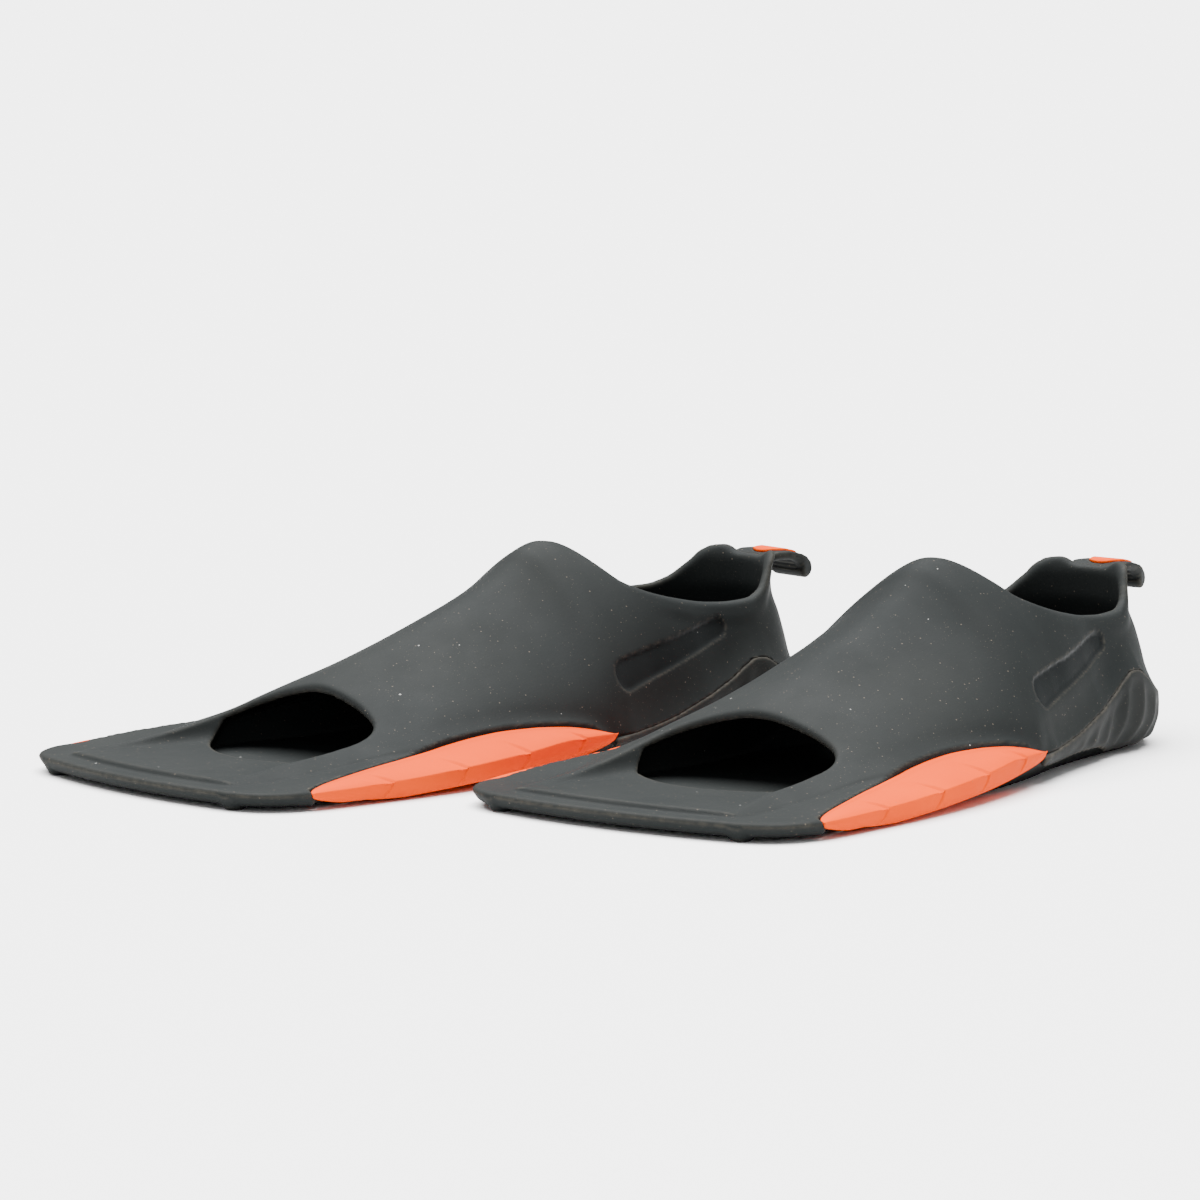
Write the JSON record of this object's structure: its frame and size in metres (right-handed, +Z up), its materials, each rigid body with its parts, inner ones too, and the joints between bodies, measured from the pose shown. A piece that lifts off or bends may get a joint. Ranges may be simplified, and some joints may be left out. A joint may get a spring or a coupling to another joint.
{
  "type": "swim fins",
  "caption": "Pair of short full-foot swim fins: flexible blade, open-toe foot pocket, side inserts, ribbed heel guard and pull tab.",
  "frame": {"origin": "on the floor, under the middle of the pair's bounding box", "axes": "+Z up; +Y from the blades towards the heels; +X from the left fin of the pair to the right one"},
  "size_m": [0.3918, 0.4764, 0.0932],
  "materials": {
    "fin_rubber": "matte moulded rubber, dark smoke grey",
    "sole_rubber": "matte moulded rubber, dark grey",
    "guard_rubber": "matte ribbed rubber, dark grey",
    "insert_rubber": "satin soft rubber, salmon orange",
    "inlay_rubber": "satin soft rubber, orange"
  },
  "bodies": {
    "left_fin": {"left_sole": "sole_rubber", "left_foot_pocket": "fin_rubber", "left_heel_guard": "guard_rubber", "left_outer_insert": "insert_rubber", "left_inner_insert": "insert_rubber"},
    "left_blade": {"left_blade": "fin_rubber"},
    "left_heel_collar": {"left_heel_collar": "fin_rubber"},
    "left_pull_tab": {"left_pull_tab": "fin_rubber", "left_tab_inlay": "inlay_rubber"},
    "right_fin": {"right_sole": "sole_rubber", "right_foot_pocket": "fin_rubber", "right_heel_guard": "guard_rubber", "right_outer_insert": "insert_rubber", "right_inner_insert": "insert_rubber"},
    "right_blade": {"right_blade": "fin_rubber"},
    "right_heel_collar": {"right_heel_collar": "fin_rubber"},
    "right_pull_tab": {"right_pull_tab": "fin_rubber", "right_tab_inlay": "inlay_rubber"}
  },
  "joints": [
    {"name": "left_blade_flex", "type": "hinge", "parent": "left_fin", "child": "left_blade", "pos_m": [-0.1005, -0.16172, 0.0052], "axis": [-0.9948, 0.1016, 0], "range_deg": [-20, 20], "stiffness_Nm_per_rad": 1.2, "deforming": ["left_outer_insert", "left_inner_insert"]},
    {"name": "left_collar_flex", "type": "hinge", "parent": "left_fin", "child": "left_heel_collar", "pos_m": [-0.07072, 0.12996, 0.046], "axis": [-0.9948, 0.1016, 0], "range_deg": [0, 35], "stiffness_Nm_per_rad": 0.5},
    {"name": "left_tab_flex", "type": "hinge", "parent": "left_heel_collar", "child": "left_pull_tab", "pos_m": [-0.0711, 0.12628, 0.0802], "axis": [0.9948, -0.1016, 0], "range_deg": [-20, 70], "stiffness_Nm_per_rad": 0.06},
    {"name": "right_blade_flex", "type": "hinge", "parent": "right_fin", "child": "right_blade", "pos_m": [0.1005, -0.08462, 0.0052], "axis": [-0.9948, -0.1016, 0], "range_deg": [-20, 20], "stiffness_Nm_per_rad": 1.2, "deforming": ["right_outer_insert", "right_inner_insert"]},
    {"name": "right_collar_flex", "type": "hinge", "parent": "right_fin", "child": "right_heel_collar", "pos_m": [0.07072, 0.20706, 0.046], "axis": [-0.9948, -0.1016, 0], "range_deg": [0, 35], "stiffness_Nm_per_rad": 0.5},
    {"name": "right_tab_flex", "type": "hinge", "parent": "right_heel_collar", "child": "right_pull_tab", "pos_m": [0.0711, 0.20338, 0.0802], "axis": [0.9948, 0.1016, 0], "range_deg": [-20, 70], "stiffness_Nm_per_rad": 0.06},
    {"name": "right_fin_apart", "type": "slide", "parent": "left_fin", "child": "right_fin", "axis": [1, 0, 0], "range_m": [0, 0.25]}
  ]
}
